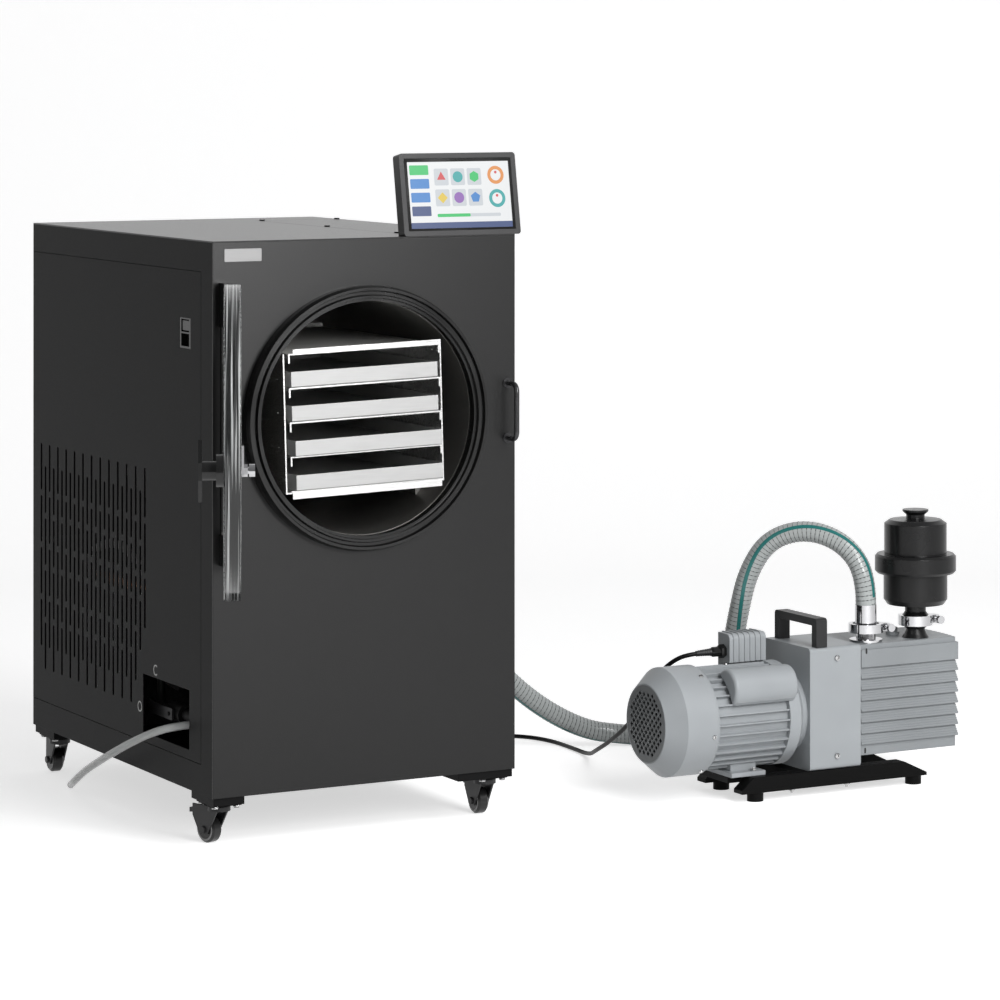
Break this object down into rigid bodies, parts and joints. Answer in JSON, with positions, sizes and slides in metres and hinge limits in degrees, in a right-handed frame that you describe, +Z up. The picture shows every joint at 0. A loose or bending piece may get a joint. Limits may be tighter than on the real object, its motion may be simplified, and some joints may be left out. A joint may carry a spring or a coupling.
{
  "type": "freeze dryer",
  "caption": "Cabinet freeze dryer with a round clear door, tray rack, touch screen and drain valve, joined by a hose to its vacuum pump.",
  "frame": {"origin": "bottom centre of the whole set without its hose, cord and drain tube, on the floor it stands on", "axes": "+X from the cabinet towards its pump, +Y from the door side to the back, +Z up"},
  "size_m": [1.4786, 1.2038, 1.0211],
  "materials": {
    "black_sheet": "satin",
    "black_front": "textured",
    "stainless": "brushed",
    "chrome": "polished",
    "foam": "matte",
    "gasket": "matte",
    "tray_metal": "satin",
    "acrylic": "clear",
    "black_plastic": "matte",
    "black_gloss": "gloss",
    "caster_tread": "matte",
    "pump_grey": "satin",
    "copper_pipe": "satin",
    "hose_clear": "clear",
    "tube_clear": "clear",
    "display": "lit",
    "fin_alu": "satin",
    "cast": "satin"
  },
  "bodies": {
    "cabinet_and_pump": {"back_panel": "black_sheet", "cabinet_fasteners": "black_plastic", "cabinet_frame": "black_sheet", "cable_gland": "black_plastic", "capacitor_cover": "pump_grey", "caster_plates": "chrome", "compressor": "cast", "condenser": "fin_alu", "control_unit": "black_sheet", "coupling_housing": "pump_grey", "door_catch": "chrome", "door_gasket": "gasket", "door_hinge_base": "black_sheet", "drain_tube": "tube_clear", "drain_valve": "copper_pipe", "front_panel": "black_front", "heater_shelves": "stainless", "inlet_fitting": "chrome", "left_vent_panel": "black_sheet", "mist_filter": "black_plastic", "motor_cowl": "pump_grey", "motor_housing": "pump_grey", "oil_box": "pump_grey", "power_inlet": "black_plastic", "pump_base": "cast", "pump_cord": "gasket", "pump_handle": "black_plastic", "rack_frame": "stainless", "refrigerant_circuit": "copper_pipe", "right_panel": "black_sheet", "screen_case": "black_plastic", "screen_panel": "display", "terminal_box": "pump_grey", "top_access_cover": "black_sheet", "top_panel": "black_sheet", "vacuum_chamber": "stainless", "vacuum_hose": "hose_clear", "vacuum_port": "stainless"},
    "condenser_fan": {"condenser_fan": "black_plastic"},
    "drain_lever": {"drain_lever": "black_plastic"},
    "power_switch": {"power_switch": "black_gloss"},
    "door": {"door_panel": "acrylic", "door_hinge_bar": "black_sheet"},
    "door_latch": {"latch_handle": "black_gloss", "latch_tongue": "chrome"},
    "motor_rotor": {"motor_rotor": "stainless"},
    "tray_1": {"tray_1": "tray_metal"},
    "caster_fork_1": {"caster_fork_1": "black_plastic"},
    "caster_wheel_1": {"caster_wheel_1": "caster_tread"},
    "tray_2": {"tray_2": "tray_metal"},
    "caster_fork_2": {"caster_fork_2": "black_plastic"},
    "caster_wheel_2": {"caster_wheel_2": "caster_tread"},
    "tray_3": {"tray_3": "tray_metal"},
    "caster_fork_3": {"caster_fork_3": "black_plastic"},
    "caster_wheel_3": {"caster_wheel_3": "caster_tread"},
    "tray_4": {"tray_4": "tray_metal"},
    "caster_fork_4": {"caster_fork_4": "black_plastic"},
    "caster_wheel_4": {"caster_wheel_4": "caster_tread"},
    "caster_brake_1": {"caster_brake_1": "black_plastic"},
    "caster_brake_2": {"caster_brake_2": "black_plastic"}
  },
  "joints": [
    {"name": "fan_spin", "type": "hinge", "parent": "cabinet_and_pump", "child": "condenser_fan", "pos_m": [-0.28473, 0.47385, 0.23], "axis": [0, 1, 0], "continuous": true},
    {"name": "drain_valve_turn", "type": "hinge", "parent": "cabinet_and_pump", "child": "drain_lever", "pos_m": [-0.51023, 0.07785, 0.168], "axis": [1, 0, 0], "range_deg": [0, 90]},
    {"name": "power_rocker", "type": "hinge", "parent": "cabinet_and_pump", "child": "power_switch", "pos_m": [-0.52573, -0.03765, 0.7662], "axis": [0, 1, 0], "range_deg": [-8, 8]},
    {"name": "door_swing", "type": "hinge", "parent": "cabinet_and_pump", "child": "door", "pos_m": [-0.51823, -0.17745, 0.626], "axis": [0, 0, -1], "range_deg": [-113.3, 36.7]},
    {"name": "latch_turn", "type": "hinge", "parent": "door", "child": "door_latch", "pos_m": [-0.69227, -0.58156, 0.608], "axis": [0.9184, -0.3955, 0], "range_deg": [0, 90]},
    {"name": "rotor_spin", "type": "hinge", "parent": "cabinet_and_pump", "child": "motor_rotor", "pos_m": [0.29527, -0.14815, 0.126], "axis": [1, 0, 0], "continuous": true},
    {"name": "tray_1_slide", "type": "slide", "parent": "cabinet_and_pump", "child": "tray_1", "axis": [0, -1, 0], "range_m": [0, 0.4]},
    {"name": "tray_2_slide", "type": "slide", "parent": "cabinet_and_pump", "child": "tray_2", "axis": [0, -1, 0], "range_m": [0, 0.4]},
    {"name": "tray_3_slide", "type": "slide", "parent": "cabinet_and_pump", "child": "tray_3", "axis": [0, -1, 0], "range_m": [-0.01, 0.4]},
    {"name": "tray_4_slide", "type": "slide", "parent": "cabinet_and_pump", "child": "tray_4", "axis": [0, -1, 0], "range_m": [-0.01, 0.4]},
    {"name": "caster_1_swivel", "type": "hinge", "parent": "cabinet_and_pump", "child": "caster_fork_1", "pos_m": [-0.50573, -0.09915, 0.053], "axis": [0, 0, 1], "continuous": true},
    {"name": "caster_1_roll", "type": "hinge", "parent": "caster_fork_1", "child": "caster_wheel_1", "pos_m": [-0.51253, -0.07822, 0.02], "axis": [0.9511, 0.309, 0], "continuous": true},
    {"name": "caster_1_brake", "type": "hinge", "parent": "caster_fork_1", "child": "caster_brake_1", "pos_m": [-0.51809, -0.0611, 0.048], "axis": [0.9511, 0.309, 0], "range_deg": [-12, 0]},
    {"name": "caster_2_swivel", "type": "hinge", "parent": "cabinet_and_pump", "child": "caster_fork_2", "pos_m": [-0.06373, -0.09915, 0.053], "axis": [0, 0, 1], "continuous": true},
    {"name": "caster_2_roll", "type": "hinge", "parent": "caster_fork_2", "child": "caster_wheel_2", "pos_m": [-0.06373, -0.07715, 0.02], "axis": [1, 0, 0], "continuous": true},
    {"name": "caster_2_brake", "type": "hinge", "parent": "caster_fork_2", "child": "caster_brake_2", "pos_m": [-0.06373, -0.05915, 0.048], "axis": [1, 0, 0], "range_deg": [-12, 0]},
    {"name": "caster_3_swivel", "type": "hinge", "parent": "cabinet_and_pump", "child": "caster_fork_3", "pos_m": [-0.50573, 0.55785, 0.053], "axis": [0, 0, 1], "continuous": true},
    {"name": "caster_3_roll", "type": "hinge", "parent": "caster_fork_3", "child": "caster_wheel_3", "pos_m": [-0.50573, 0.57985, 0.02], "axis": [1, 0, 0], "continuous": true},
    {"name": "caster_4_swivel", "type": "hinge", "parent": "cabinet_and_pump", "child": "caster_fork_4", "pos_m": [-0.06373, 0.55785, 0.053], "axis": [0, 0, 1], "continuous": true},
    {"name": "caster_4_roll", "type": "hinge", "parent": "caster_fork_4", "child": "caster_wheel_4", "pos_m": [-0.05991, 0.57952, 0.02], "axis": [0.9848, -0.1736, 0], "continuous": true}
  ]
}
